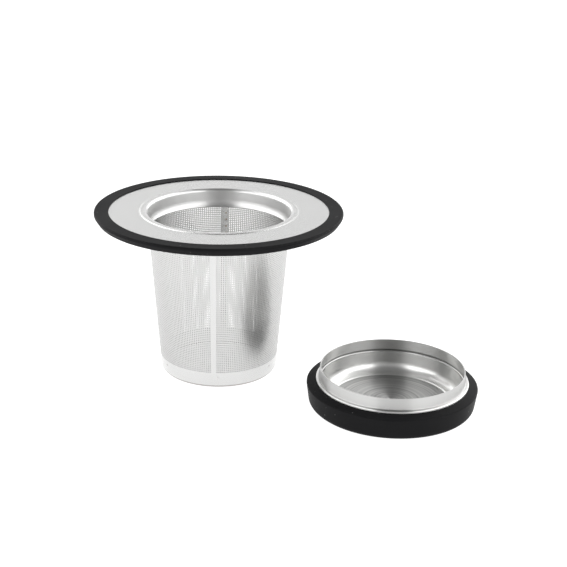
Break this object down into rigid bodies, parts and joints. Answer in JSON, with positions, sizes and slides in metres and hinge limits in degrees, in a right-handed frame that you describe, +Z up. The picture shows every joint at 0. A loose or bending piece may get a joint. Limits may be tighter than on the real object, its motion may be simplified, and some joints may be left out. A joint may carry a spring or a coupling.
{
  "type": "basket strainer",
  "caption": "Fine-mesh conical basket strainer that hangs from a wide silicone-edged rim, with a separate plug lid lying upside down beside it.",
  "frame": {"origin": "centre of the basket's floor, on the surface that it stands on", "axes": "+Z up along the basket's axis; +X from the basket to the lid lying beside it; the lapped seam is 114 degrees round from +X"},
  "size_m": [0.1692, 0.105, 0.0714],
  "materials": {
    "rim_steel": "fine circular satin",
    "mesh_steel": "etched, semi-bright",
    "weld_steel": "spot weld, faintly heat tinted",
    "lid_steel": "spun satin",
    "rim_silicone": "matte",
    "lid_silicone": "matte"
  },
  "bodies": {
    "strainer": {"flange_plate": "rim_steel", "rim_gasket": "rim_silicone", "basket_wall": "mesh_steel", "base_cup": "mesh_steel", "seam_welds": "weld_steel", "collar_welds": "weld_steel", "base_welds": "weld_steel"},
    "lid": {"lid_dish": "lid_steel", "lid_collar": "lid_steel", "lid_grip_ring": "lid_silicone", "lid_welds": "weld_steel"}
  },
  "joints": [
    {"name": "lid_lift", "type": "slide", "parent": "strainer", "child": "lid", "axis": [0.5, 0, 0.866], "range_m": [0, 0.1]}
  ]
}
